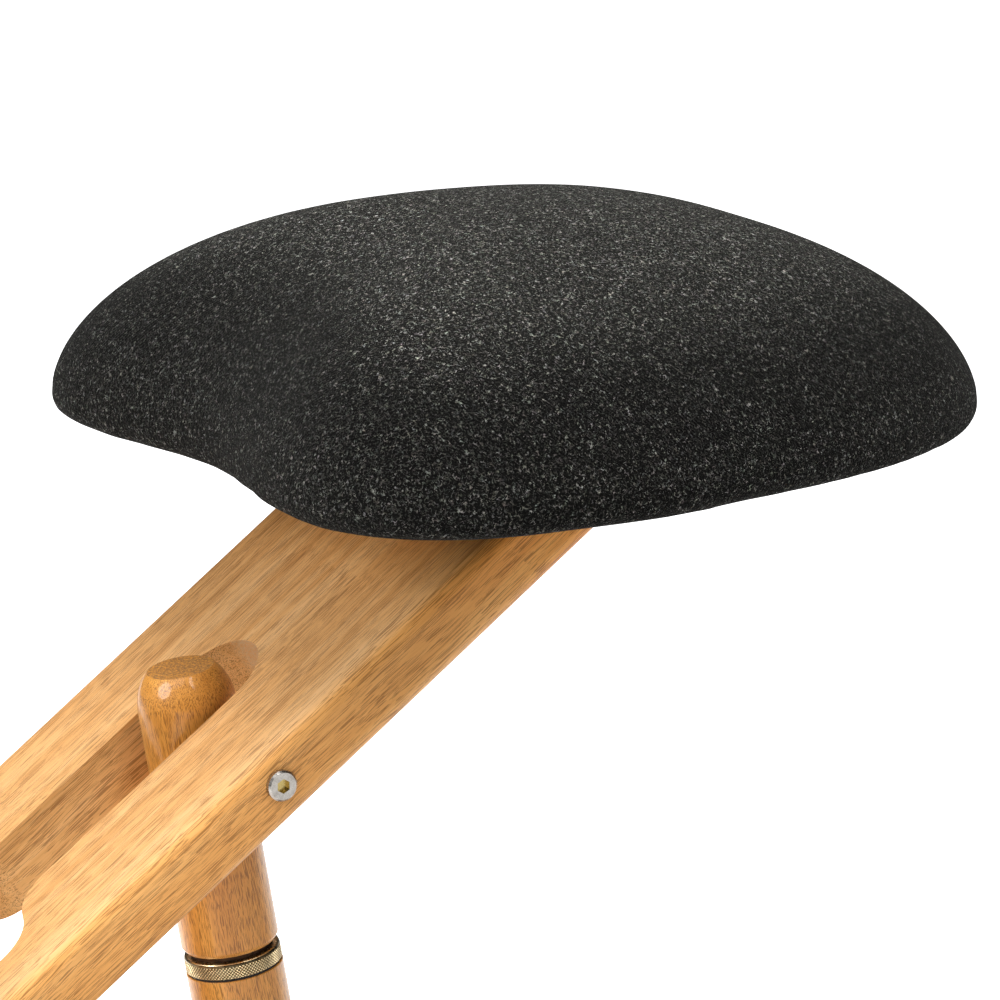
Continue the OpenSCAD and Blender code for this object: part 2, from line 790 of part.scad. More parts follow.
// The plank below the knee cushion, with a gap round it
module plank_room(gap) {
    plank_frame() translate([-half_plank - gap, -plank_front - gap, under_z])
        cube([plank_w + 2 * gap, plank_front, wood_t]);
}

module knee_bolts() color(steel) knee_bolt_places() translate([0, 0, -wood_t])
    socket_bolt(bolt_d, wood_t + board_t - 1, bolt_head_d, bolt_head_h, 5.8);

module knee_tee_nuts() color(steel) knee_bolt_places() tee_nut();

// ---- The assembly ----

main_beam();
seat_wedge();
seat_board();
seat_foam();
seat_cover();
seat_underlining();
seat_bolts();
seat_tee_nuts();
front_foot_bar();
front_foot_pads();
front_foot_bolts();
front_foot_barrel_nuts();
strut_pivot_sleeve();
strut_pivot_screw();
strut_pivot_spacers();
frame_pivot_sleeve();
frame_pivot_screw();
frame_pivot_washers();
frame_pivot_bushes();
strut_upper();
strut_upper_insert();
strut_rod();
lock_ring();
ring_washer();
strut_lower();
strut_lower_insert();
clamp_bolt();
clamp_washers();
clamp_knob();
clamp_knob_insert();
knee_plank();
knee_board();
knee_foam();
knee_cover();
knee_underlining();
knee_bolts();
knee_tee_nuts();
rear_foot_bar();
rear_foot_pads();
rear_foot_bolts();
rear_foot_barrel_nuts();
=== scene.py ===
"""Kneeling chair: wool cushions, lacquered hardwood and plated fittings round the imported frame."""
import json
import math

import bpy
import numpy as np
from mathutils import Matrix, Vector


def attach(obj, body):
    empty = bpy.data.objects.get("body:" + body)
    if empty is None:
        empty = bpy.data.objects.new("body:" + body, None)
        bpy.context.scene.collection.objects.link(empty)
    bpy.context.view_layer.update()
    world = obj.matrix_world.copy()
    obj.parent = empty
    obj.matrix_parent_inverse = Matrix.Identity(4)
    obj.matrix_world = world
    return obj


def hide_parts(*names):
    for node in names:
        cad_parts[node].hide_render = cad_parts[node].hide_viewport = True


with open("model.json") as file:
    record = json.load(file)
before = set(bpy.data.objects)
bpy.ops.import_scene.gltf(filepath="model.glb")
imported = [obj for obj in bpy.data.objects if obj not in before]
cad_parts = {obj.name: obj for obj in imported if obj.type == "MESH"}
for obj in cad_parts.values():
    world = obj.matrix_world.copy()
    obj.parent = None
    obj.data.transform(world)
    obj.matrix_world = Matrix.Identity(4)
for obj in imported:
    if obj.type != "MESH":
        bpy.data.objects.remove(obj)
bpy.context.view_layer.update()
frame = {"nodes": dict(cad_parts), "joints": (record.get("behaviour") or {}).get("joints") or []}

MM = 0.001
JOINTS = {joint["name"]: joint for joint in frame["joints"]}
PIVOT = Vector(JOINTS["strut_swing"]["pos_m"])
FRAME_PIVOT = Vector(JOINTS["frame_fold"]["pos_m"])
CLAMP = Vector(JOINTS["clamp_turn"]["pos_m"])
STRUT_AXIS = Vector(JOINTS["ring_spin"]["axis"]).normalized()
BEAM_SLOPE = math.atan2(PIVOT.z - FRAME_PIVOT.z, PIVOT.y - FRAME_PIVOT.y)
PLANK_SLOPE = math.atan2(CLAMP.z - FRAME_PIVOT.z, CLAMP.y - FRAME_PIVOT.y)
STRUT_LEAN = math.atan2(-STRUT_AXIS.y, STRUT_AXIS.z)


# ---- Camera ----

VIEW_AZIMUTH = math.radians(62)
VIEW_ELEVATION = math.radians(12.5)
VIEW_DISTANCE = 2.6
# Width of what the camera sees at that distance
VIEW_WIDTH = 0.418
# The middle of the view, right of and above the strut's pivot
AIM_RIGHT = 0.1282
AIM_UP = 0.0999
SENSOR = 36


def view_axes(azimuth, elevation):
    """Right, up and forward of a view, azimuth 0 along +Y."""
    forward = Vector((-math.sin(azimuth) * math.cos(elevation),
                      math.cos(azimuth) * math.cos(elevation), -math.sin(elevation)))
    right = Vector((math.cos(azimuth), math.sin(azimuth), 0))
    return right, right.cross(forward), forward


def add_camera():
    right, up, forward = view_axes(VIEW_AZIMUTH, VIEW_ELEVATION)
    data = bpy.data.cameras.new("camera")
    data.lens = SENSOR * VIEW_DISTANCE / VIEW_WIDTH
    data.sensor_width = SENSOR
    camera = bpy.data.objects.new("camera", data)
    aim = PIVOT + right * AIM_RIGHT + up * AIM_UP
    turn = Matrix((right, up, -forward)).transposed().to_4x4()
    camera.matrix_world = Matrix.Translation(aim - forward * VIEW_DISTANCE) @ turn
    bpy.context.scene.collection.objects.link(camera)
    bpy.context.scene.camera = camera


# ---- Lights ----

# Name, azimuth and elevation it shines from, distance, diameter and power
LIGHTS = [
    ("key_light", 28, 56, 2.2, 1.3, 10),
    ("side_light", 104, 52, 2.2, 1.2, 27),
    ("top_light", 200, 84, 2.0, 1.8, 46),
    ("low_fill", 4, 28, 2.6, 1.5, 56),
]
WORLD_STRENGTH = 0.05
# The floor glows softly near the chair and brightly in a round pool behind it
FLOOR_GLOW = 0.05
POOL_GLOW = 1.15
POOL_CENTRE = (-2.56, 1.36, 0)
POOL_RADIUS = 2.45
POOL_SOFT_EDGE = 0.35
FLOOR_HALF = 12


def add_light(name, azimuth, elevation, distance, size, watts):
    """A round softbox that faces the chair."""
    right, up, forward = view_axes(math.radians(azimuth), math.radians(elevation))
    data = bpy.data.lights.new(name, "AREA")
    data.shape = "DISK"
    data.size = size
    data.energy = watts
    light = bpy.data.objects.new(name, data)
    turn = Matrix((right, up, -forward)).transposed().to_4x4()
    light.matrix_world = Matrix.Translation(PIVOT - forward * distance) @ turn
    bpy.context.scene.collection.objects.link(light)


def add_studio():
    for light in LIGHTS:
        add_light(*light)
    world = bpy.data.worlds.new("studio")
    world.use_nodes = True
    world.node_tree.nodes["Background"].inputs["Color"].default_value = (1, 1, 1, 1)
    world.node_tree.nodes["Background"].inputs["Strength"].default_value = WORLD_STRENGTH
    bpy.context.scene.world = world
    bpy.context.scene.view_settings.view_transform = "Standard"


# ---- Material building ----

class Shader:
    """Builds one material's nodes. Most calls add a node and return one of its outputs."""

    def __init__(self, name):
        self.material = bpy.data.materials.new(name)
        self.material.use_nodes = True
        self.nodes = self.material.node_tree.nodes
        self.links = self.material.node_tree.links
        self.surface = self.nodes["Principled BSDF"]

    def put(self, socket, value):
        if isinstance(value, bpy.types.NodeSocket):
            self.links.new(value, socket)
        elif isinstance(value, (tuple, list)) and socket.type == "RGBA" and len(value) == 3:
            socket.default_value = (*value, 1)
        else:
            socket.default_value = value

    def add(self, kind, inputs, **settings):
        node = self.nodes.new("ShaderNode" + kind)
        for key, value in settings.items():
            setattr(node, key, value)
        for key, value in inputs.items():
            self.put(node.inputs[key], value)
        return node

    def object_point(self):
        return self.add("TexCoord", {}).outputs["Object"]

    def object_normal(self):
        return self.add("TexCoord", {}).outputs["Normal"]

    def turn(self, point, angles, scale=(1, 1, 1), kind="POINT"):
        return self.add("Mapping", {"Vector": point, "Rotation": angles, "Scale": scale},
                        vector_type=kind).outputs["Vector"]

    def moved(self, point, offset):
        return self.add("Mapping", {"Vector": point, "Location": offset}).outputs["Vector"]

    def drawn_out(self, point, share):
        """Scales Y by share, so that a texture is drawn out along Y."""
        return self.turn(point, (0, 0, 0), (1, share, 1))

    def parts(self, vector):
        """The outputs X, Y and Z of a vector."""
        return self.add("SeparateXYZ", {"Vector": vector}).outputs

    def noise_colour(self, point, scale, detail):
        return self.add("TexNoise", {"Vector": point, "Scale": scale, "Detail": detail}).outputs["Color"]

    def noise(self, point, scale, detail=2, roughness=0.5, distortion=0.0):
        return self.add("TexNoise", {"Vector": point, "Scale": scale, "Detail": detail,
                                     "Roughness": roughness, "Distortion": distortion}).outputs["Fac"]

    def math(self, operation, a, b=0.0):
        node = self.add("Math", {}, operation=operation)
        self.put(node.inputs[0], a)
        self.put(node.inputs[1], b)
        return node.outputs["Value"]

    def distance(self, point, centre, weights=(1, 1, 1)):
        """Distance of point from centre, each axis weighted."""
        offset = self.add("VectorMath", {}, operation="SUBTRACT")
        self.put(offset.inputs[0], point)
        self.put(offset.inputs[1], centre)
        weighted = self.add("VectorMath", {}, operation="MULTIPLY")
        self.put(weighted.inputs[0], offset.outputs["Vector"])
        self.put(weighted.inputs[1], weights)
        length = self.add("VectorMath", {}, operation="LENGTH")
        self.put(length.inputs[0], weighted.outputs["Vector"])
        return length.outputs["Value"]

    def step(self, value, low, high, to_low=0.0, to_high=1.0):
        """Smooth change from to_low to to_high as value goes from low to high."""
        return self.add("MapRange", {"Value": value, "From Min": low, "From Max": high,
                                     "To Min": to_low, "To Max": to_high},
                        interpolation_type="SMOOTHSTEP").outputs["Result"]

    def size(self, value):
        return self.math("ABSOLUTE", value)

    def tint(self, colour, tone, share=1.0):
        return self.mix(share, colour, tone, "MULTIPLY")

    def mix(self, share, a, b, blend="MIX"):
        node = self.add("Mix", {}, data_type="RGBA", blend_type=blend)
        self.put(node.inputs["Factor"], share)
        self.put(node.inputs[6], a)
        self.put(node.inputs[7], b)
        return node.outputs[2]

    def ramp(self, value, stops):
        node = self.add("ValToRGB", {"Fac": value})
        elements = node.color_ramp.elements
        while len(elements) < len(stops):
            elements.new(0.5)
        for element, (position, colour) in zip(elements, stops):
            element.position = position
            element.color = (*colour, 1)
        return node.outputs["Color"]

    def bump(self, height, strength, distance):
        return self.add("Bump", {"Height": height, "Strength": strength,
                                 "Distance": distance}).outputs["Normal"]

    def finish(self, **inputs):
        """Sets the surface's sockets: underscores in the names stand for spaces."""
        for key, value in inputs.items():
            self.put(self.surface.inputs[key.replace("_", " ")], value)
        return self.material


# ---- Lock ring sizes, in millimetres ----

RING_RADIUS = 20.65
RING_BORE = 6.05
# Both ends of the ring, down the strut from its pivot
RING_TOP = 94.1
RING_END = 101.1
# The knurled band, up from the ring's end
KNURL_LOW, KNURL_HIGH = 0.3, 5.5
KNURL_DEPTH = 0.34
KNURL_GROOVES = 88
KNURL_ROWS = 42
# Above 1 the knurl's pyramids have steeper slopes and flat tops
KNURL_STEEPNESS = 1.35
RING_SIDES = 1056
# In from the ring's radius: the plating goes from dark in the grooves to bright on the ridges over
# RIDGE_BAND, and turns bright again on the ring's bevels over BEVEL_BAND
# The dark in the grooves is partly patina and partly painted shade
RIDGE_BAND = (0.30, 0.02)
BEVEL_BAND = (0.37, 0.45)


# ---- Materials ----

# Lacquered hardwood, from light to deep, then its pores and its end grain
BOARD_TONES = [(0.84, 0.49, 0.210), (0.73, 0.375, 0.132), (0.56, 0.250, 0.070),
               (0.18, 0.064, 0.015), (0.68, 0.480, 0.260)]
STRUT_TONES = [(0.80, 0.385, 0.085), (0.66, 0.290, 0.052), (0.47, 0.175, 0.026),
               (0.14, 0.045, 0.009), (0.16, 0.082, 0.040)]
# Painted light and shade: tints of a board's wide faces, of its outer edges and of the walls of its
# slots, which lie within OUTER_SIDE of the middle plane. The slots' walls are painted lighter, where
# less light reaches them.
FACE_TINT = (0.95, 1.0, 1.10)
EDGE_TINT = (1.06, 1.0, 0.82)
INNER_TINT = (1.05, 1.16, 1.20)
OUTER_SIDE = 70 * MM
# Painted shade: the wood is tinted darker and warmer towards the seat, between these heights, where the
# seat shades it
SEAT_SHADE_TINT = (0.96, 0.80, 0.52)
SEAT_SHADE_HEIGHTS = (385 * MM, 440 * MM)


def wood(name, angles, tones=BOARD_TONES, gloss=0.06, gloss_roughness=0.32, pore_length=1.0,
         shift=0.0, tinted=False):
    """Lacquered hardwood. angles turn the object's axes so that Y runs along the grain.

    shift gives each board its own figure, and tinted gives it the tints above, which are painted light
    and shade."""
    light, middle, deep, pore, end = tones
    s = Shader(name)
    point = s.turn(s.moved(s.object_point(), (shift, shift, shift)), angles)
    swayed = s.add("VectorMath", {}, operation="MULTIPLY_ADD")
    s.put(swayed.inputs[0], s.noise_colour(point, 14, 2))
    s.put(swayed.inputs[1], (4 * MM, 0.0, 4 * MM))
    s.put(swayed.inputs[2], point)
    point = swayed.outputs["Vector"]

    # Growth bands, finer streaks and single fibres
    bands = s.noise(s.drawn_out(point, 0.05), 70, 4, 0.62, 0.25)
    colour = s.ramp(bands, [(0.28, light), (0.50, middle), (0.78, deep)])
    streaks = s.noise(s.drawn_out(point, 0.03), 600, 3, 0.65)
    colour = s.mix(s.step(streaks, 0.50, 0.70, 0, 0.26), colour, deep)
    colour = s.mix(s.step(streaks, 0.48, 0.30, 0, 0.34), colour, light)
    fibre = s.noise(s.drawn_out(point, 0.022), 2200, 2, 0.6)
    colour = s.mix(s.step(fibre, 0.47, 0.70, 0, 0.28), colour, deep)

    # Short dark pores in two sizes, closer together in clusters
    cluster = s.noise(s.drawn_out(point, 0.12), 130, 3, 0.65)
    limit = s.step(cluster, 0.32, 0.66, 0.655, 0.595)
    pores = None
    for scale, length in ((2600, 0.022), (3900, 0.018)):
        grooves = s.noise(s.drawn_out(point, length / pore_length), scale, 0, 0.5)
        lines = s.step(s.math("SUBTRACT", grooves, limit), 0.0, 0.04)
        pores = lines if pores is None else s.math("MAXIMUM", pores, lines)
    colour = s.mix(s.math("MULTIPLY", pores, 0.62), colour, pore)

    # End grain is speckled
    facing = s.parts(s.turn(s.object_normal(), angles, kind="VECTOR"))
    along = s.step(s.size(facing["Y"]), 0.72, 0.97)
    speckle = s.noise(point, 1100, 2, 0.65)
    end_colour = s.mix(s.step(speckle, 0.38, 0.66), end, middle)
    colour = s.mix(s.math("MULTIPLY", along, 0.8), colour, end_colour)

    if tinted:
        across, _, height = s.parts(s.object_point())
        # Painted light and shade: each face is tinted by which way it looks, and the slots' walls are
        # painted lighter
        edge = s.step(s.size(facing["X"]), 0.25, 0.85)
        outer = s.step(s.size(across), OUTER_SIDE, OUTER_SIDE + 5 * MM)
        edge_tint = s.mix(outer, INNER_TINT, EDGE_TINT)
        colour = s.tint(colour, s.mix(edge, FACE_TINT, edge_tint))
        # Painted shade of the seat: darker and warmer wood between these heights
        seat_shade = s.step(height, *SEAT_SHADE_HEIGHTS)
        colour = s.mix(seat_shade, colour, s.tint(colour, SEAT_SHADE_TINT))
    relief = s.math("SUBTRACT", s.math("MULTIPLY", fibre, 0.3), pores)
    return s.finish(Base_Color=colour, Roughness=s.step(bands, 0.3, 0.7, 0.44, 0.54),
                    Normal=s.bump(relief, 0.30, 0.10 * MM), Coat_Weight=gloss,
                    Coat_Roughness=gloss_roughness, Specular_IOR_Level=0.25)


# Wool: the dark ground, its lighter tufts, and the fibres from grey to pale
WOOL_DARK = (0.0034, 0.0034, 0.0031)
WOOL_MID = (0.0115, 0.0113, 0.0102)
WOOL_GREY = (0.085, 0.083, 0.074)
WOOL_LIGHT = (0.47, 0.465, 0.42)
# Distance between the weave's rows
WEAVE = 1.8 * MM
# Place in the noise, scale and width of each set of curled fibres
CURLS = [(0.0, 360, 0.036), (0.37, 500, 0.042), (0.71, 680, 0.048)]


def wool():
    """Charcoal melange wool cloth: a dark felted weave with pale curled fibres on it.

    The nap catches most light where the cloth faces up, and least on its slopes: this is painted into
    the colour as painted light and shade."""
    s = Shader("charcoal_wool")
    point = s.object_point()
    nap = s.noise(point, 1300, 2, 0.7)
    colour = s.mix(s.step(nap, 0.40, 0.66), WOOL_DARK, WOOL_MID)

    # A fibre runs where a noise is near its middle value, and is cut into pieces by another
    fibres = None
    for offset, scale, width in CURLS:
        there = s.moved(point, (offset, offset, -offset))
        path = s.noise(there, scale, 1, 0.6, 0.3)
        curl = s.step(s.size(s.math("SUBTRACT", path, 0.5)), width, width * 0.35)
        piece = s.step(s.noise(there, scale * 1.7, 0), 0.50, 0.60)
        curl = s.math("MULTIPLY", curl, piece)
        fibres = curl if fibres is None else s.math("MAXIMUM", fibres, curl)
    tuft = s.noise(point, 420, 3, 0.7)
    bright = s.mix(s.step(tuft, 0.48, 0.68), WOOL_GREY, WOOL_LIGHT)
    bright = s.tint(bright, s.noise_colour(point, 500, 0), 0.25)
    colour = s.mix(fibres, colour, bright)

    across = s.parts(point)
    rows = [s.math("SINE", s.math("MULTIPLY", s.math("ADD", across[way], across["Z"]),
                                  2 * math.pi / WEAVE)) for way in ("X", "Y")]
    weave = s.math("MULTIPLY", *rows)
    colour = s.mix(s.step(weave, -0.2, -0.9, 0, 0.45), colour, WOOL_DARK)

    # Painted light and shade: the colour is lighter where the cloth faces up and darker on its slopes
    upward = s.parts(s.object_normal())["Z"]
    top_light = s.step(upward, 0.76, 0.97, 0.52, 1.32)
    side_light = s.step(upward, 0.62, 0.25, 0.0, 0.22)
    light = s.math("ADD", top_light, side_light)
    colour = s.tint(colour, s.add("CombineXYZ", {way: light for way in "XYZ"}).outputs["Vector"])
    relief = s.math("ADD", s.math("ADD", nap, s.math("MULTIPLY", fibres, 0.8)),
                    s.math("MULTIPLY", weave, 0.3))
    return s.finish(Base_Color=colour, Roughness=0.95, Specular_IOR_Level=0.03,
                    Sheen_Weight=0.04, Sheen_Roughness=0.4, Sheen_Tint=(0.8, 0.79, 0.76),
                    Normal=s.bump(relief, 0.9, 0.8 * MM))


def metal(name, colour, dark, roughness, core=None, core_colour=None):
    """Plated or turned metal with fine uneven wear.

    core is a radius about the strut's pivot and a distance from the middle plane. The metal has
    core_colour within both."""
    s = Shader(name)
    point = s.object_point()
    wear = s.noise(point, 240, 4, 0.7)
    fine = s.noise(point, 2500, 2, 0.6)
    plating = s.mix(s.step(wear, 0.35, 0.75), colour, dark)
    if core:
        radius, face = core
        blend = 0.1 * MM
        inside = s.step(s.distance(point, PIVOT, (0, 1, 1)), radius, radius - blend)
        below = s.step(s.distance(point, PIVOT, (1, 0, 0)), face, face - blend)
        plating = s.mix(s.math("MULTIPLY", inside, below), plating, core_colour)
    return s.finish(Base_Color=plating, Metallic=1.0,
                    Roughness=s.step(fine, 0.3, 0.7, roughness * 0.75, roughness * 1.3),
                    Normal=s.bump(fine, 0.10, 0.03 * MM))


def antique_brass():
    """Dull plating, worn bright on the lock ring's ridges and dark in its grooves; the dark in the
    grooves is partly patina and partly painted shade.
    """
    s = Shader("antique_brass")
    point = s.object_point()
    wear = s.noise(point, 240, 4, 0.7)
    upright = s.turn(s.moved(point, tuple(-PIVOT)), (-STRUT_LEAN, 0, 0))
    radius = s.distance(upright, (0, 0, 0), (1, 1, 0))
    ridge, bevel = (s.step(radius, (RING_RADIUS - dark) * MM, (RING_RADIUS - bright) * MM)
                    for dark, bright in (RIDGE_BAND, BEVEL_BAND))
    # Painted shade, partly patina: dark in the knurl's grooves
    colour = s.mix(s.math("MAXIMUM", ridge, bevel), (0.11, 0.080, 0.042), (0.82, 0.67, 0.40))
    colour = s.mix(s.step(wear, 0.45, 0.80, 0, 0.5), colour, (0.20, 0.15, 0.09))
    return s.finish(Base_Color=colour, Metallic=1.0, Roughness=s.step(wear, 0.3, 0.7, 0.22, 0.36))


def moulded(name, colour, roughness, grain, depth):
    """Rubber or plastic with a fine moulded grain."""
    s = Shader(name)
    point = s.object_point()
    texture = s.noise(point, grain, 3, 0.6)
    pale = tuple(min(1, c * 1.8 + 0.01) for c in colour)
    return s.finish(Base_Color=s.mix(s.step(texture, 0.35, 0.75), colour, pale),
                    Roughness=s.step(texture, 0.3, 0.7, roughness - 0.06, roughness + 0.08),
                    Normal=s.bump(texture, 0.5, depth))


def lining():
    """Black non-woven cloth, embossed with a grid of small dots."""
    s = Shader("lining_cloth")
    point = s.object_point()
    dots = s.add("TexVoronoi", {"Vector": point, "Scale": 420, "Randomness": 0.15})
    pressed = s.step(dots.outputs["Distance"], 0.15, 0.32)
    fuzz = s.noise(point, 1600, 3, 0.7)
    colour = s.mix(s.step(fuzz, 0.35, 0.7), (0.010, 0.010, 0.010), (0.038, 0.038, 0.038))
    relief = s.math("ADD", pressed, s.math("MULTIPLY", fuzz, 0.5))
    return s.finish(Base_Color=colour, Roughness=0.88, Specular_IOR_Level=0.2,
                    Normal=s.bump(relief, 0.6, 0.2 * MM))


def foam():
    """Open cell foam."""
    s = Shader("foam")
    cells = s.add("TexVoronoi", {"Vector": s.object_point(), "Scale": 900})
    open_cell = s.step(cells.outputs["Distance"], 0.1, 0.5)
    return s.finish(Base_Color=s.mix(open_cell, (0.55, 0.47, 0.26), (0.80, 0.73, 0.50)),
                    Roughness=0.95, Normal=s.bump(open_cell, 0.6, 0.3 * MM))


def floor_white():
    """Pale studio floor with a bright pool of light behind the chair."""
    s = Shader("floor_white")
    point = s.object_point()
    tone = s.noise(point, 3, 2)
    glow = s.step(s.distance(point, POOL_CENTRE), POOL_RADIUS + POOL_SOFT_EDGE, POOL_RADIUS,
                  FLOOR_GLOW, POOL_GLOW)
    return s.finish(Base_Color=s.mix(tone, (0.86, 0.86, 0.86), (0.90, 0.90, 0.90)),
                    Roughness=0.9, Emission_Color=(1, 1, 1), Emission_Strength=glow)


# The grain runs up the beam, along the plank, up the strut and along the foot bars
QUARTER = math.pi / 2
# The sockets in the heads of the strut's pivot: their radius, and how far out the heads' faces are
SOCKETS = (3.3 * MM, 85.7 * MM)
ZINC, ZINC_DARK = (0.54, 0.51, 0.47), (0.34, 0.31, 0.28)
MATERIALS = {
    "beam_wood": wood("beam_wood", (-BEAM_SLOPE, 0, 0), tinted=True),
    "plank_wood": wood("plank_wood", (-PLANK_SLOPE, 0, 0), shift=0.31, tinted=True),
    "strut_wood": wood("strut_wood", (-STRUT_LEAN - QUARTER, 0, 0), STRUT_TONES, gloss=0.5,
                       gloss_roughness=0.12, pore_length=0.35, shift=0.17),
    "bar_wood": wood("bar_wood", (0, 0, QUARTER), gloss=0.4, shift=0.53),
    "board_wood": wood("board_wood", (0, 0, 0), gloss=0.0, shift=0.77),
    "wool": wool(),
    "lining": lining(),
    "foam": foam(),
    "zinc": metal("bright_zinc", ZINC, ZINC_DARK, 0.22),
    "pivot_zinc": metal("pivot_zinc", ZINC, ZINC_DARK, 0.26, SOCKETS, (0.55, 0.42, 0.16)),
    "brass": metal("turned_brass", (0.62, 0.46, 0.20), (0.44, 0.30, 0.12), 0.28),
    "antique": antique_brass(),
    "dark_metal": metal("dark_metal", (0.07, 0.04, 0.025), (0.03, 0.018, 0.012), 0.5),
    "rubber": moulded("black_rubber", (0.014, 0.014, 0.014), 0.72, 700, 0.2 * MM),
    "plastic": moulded("black_plastic", (0.012, 0.012, 0.013), 0.42, 1500, 0.08 * MM),
    "floor": floor_white(),
}

# Nodes that aren't named here are bright zinc
NODE_MATERIALS = {
    "main_beam": "beam_wood", "seat_wedge": "beam_wood", "knee_plank": "plank_wood",
    "strut_upper": "strut_wood", "strut_lower": "strut_wood", "front_foot_bar": "bar_wood",
    "rear_foot_bar": "bar_wood", "seat_board": "board_wood", "knee_board": "board_wood",
    "seat_cover": "wool", "knee_cover": "wool", "seat_foam": "foam", "knee_foam": "foam",
    "seat_underlining": "lining", "knee_underlining": "lining", "front_foot_pads": "rubber",
    "rear_foot_pads": "rubber", "ring_washer": "rubber", "strut_pivot_spacers": "plastic",
    "frame_pivot_bushes": "plastic", "clamp_knob": "plastic", "clamp_knob_insert": "brass",
    "strut_lower_insert": "brass", "strut_upper_insert": "dark_metal", "lock_ring": "antique",
    "strut_pivot_sleeve": "pivot_zinc", "strut_pivot_screw": "pivot_zinc",
}


def dress_nodes():
    for name, node in frame["nodes"].items():
        node.data.materials.clear()
        node.data.materials.append(MATERIALS[NODE_MATERIALS.get(name, "zinc")])


def smooth_nodes():
    """Round surfaces shade smoothly, and edges sharper than 30 degrees stay crisp."""
    for node in frame["nodes"].values():
        modifier = node.modifiers.new("smooth_shade", "EDGE_SPLIT")
        modifier.split_angle = math.radians(30)


# ---- Mesh helpers ----

def mesh_object(name, points, faces, material, smooth=True):
    mesh = bpy.data.meshes.new(name)
    mesh.from_pydata([tuple(p) for p in points], [], [tuple(f) for f in faces])
    mesh.validate()
    mesh.update()
    mesh.materials.append(MATERIALS[material])
    mesh.polygons.foreach_set("use_smooth", [smooth] * len(mesh.polygons))
    obj = bpy.data.objects.new(name, mesh)
    bpy.context.scene.collection.objects.link(obj)
    return obj


def ring_faces(rings, sides):
    """Quads between closed rings of points that follow one another."""
    return [(k * sides + i, k * sides + (i + 1) % sides,
             (k + 1) * sides + (i + 1) % sides, (k + 1) * sides + i)
            for k in range(rings - 1) for i in range(sides)]


def apply_modifiers(obj):
    bpy.context.view_layer.update()
    graph = bpy.context.evaluated_depsgraph_get()
    mesh = bpy.data.meshes.new_from_object(obj.evaluated_get(graph))
    obj.modifiers.clear()
    old, obj.data = obj.data, mesh
    bpy.data.meshes.remove(old)


def mesh_points(obj):
    flat = np.empty(len(obj.data.vertices) * 3)
    obj.data.vertices.foreach_get("co", flat)
    return flat.reshape(-1, 3)


def set_points(obj, points):
    obj.data.vertices.foreach_set("co", points.ravel())
    obj.data.update()


# ---- Cushions ----

# Half of the seat's outline from its front's middle to its back's: across, and back from the
# strut's pivot, in millimetres. The other half mirrors it.
SEAT_HALF = [(0, 6), (43, 1), (84, -6), (126, -5), (160, 13), (180, 46), (185, 90), (185, 131),
             (178, 176), (168, 221), (150, 265), (116, 310), (62, 338), (0, 342)]
# The middle of the seat's base, back from the strut's pivot and above it
SEAT_MID = 146
SEAT_RISE = 119.5
SEAT_TILT = math.radians(1.5)
SEAT_FORM = {"height": 98.5, "bottom": -2.6, "outset": 0.8, "front_fill": 7.8}
KNEE_FORM = {"height": 65, "bottom": -0.2}
KNEE_LENGTH = 180
KNEE_WIDTH = 400
# The knee cushion's outline is a rounded oblong: the higher the power, the squarer its corners
KNEE_CORNER_POWER = 3.4
# The knee cushion's rear edge, down the plank from the frame's pivot
KNEE_START = 32
# How far the plank's top face is above the frame's pivot, square to the plank
PIVOT_DEPTH = 14.5
# Powers of the curves from a cushion's edge to its crown: 2 is an ellipse, and less is nearer a cone
SIDE_POWER = 1.95
TOP_POWER = 1.8
CUSHION_SIDES = 168
CROWN_RINGS = 40
EDGE_RINGS = 6
# Radius of the rounding at a cushion's low edge
LOW_EDGE = 9.0
# Half width of the seat's front notch
NOTCH_REACH = 45
# The cloth: its mesh size, pressure, stiffness and frames, and how far it may swell. Cloth that
# lies less than HELD_BELOW above the cushion's base is held.
VOXEL = 5 * MM
PRESSURE = 4
STRETCH_STIFFNESS = 25
BEND_STIFFNESS = 6
CLOTH_FRAMES = 20
SWELL = 5 * MM
HELD_BELOW = 4 * MM


def closed_curve(control, count):
    """count points on a closed Catmull-Rom curve through the control points."""
    control = np.array(control, float)
    along = np.arange(count) * len(control) / count
    start = along.astype(int)
    f = (along - start)[:, None]
    a, b, c, d = (control[(start + k) % len(control)] for k in (-1, 0, 1, 2))
    return b + f / 2 * (c - a + f * (2 * a - 5 * b + 4 * c - d + f * (3 * (b - c) + d - a)))


def seat_plan():
    mirrored = SEAT_HALF + [(-x, y) for x, y in SEAT_HALF[-2:0:-1]]
    return closed_curve([(x, y - SEAT_MID) for x, y in mirrored], CUSHION_SIDES)


def knee_plan():
    turns = np.arange(CUSHION_SIDES) * 2 * math.pi / CUSHION_SIDES
    wave = np.stack([np.cos(turns), np.sin(turns)], 1)
    corners = np.sign(wave) * np.abs(wave) ** (2 / KNEE_CORNER_POWER)
    return corners * (KNEE_WIDTH / 2, KNEE_LENGTH / 2)


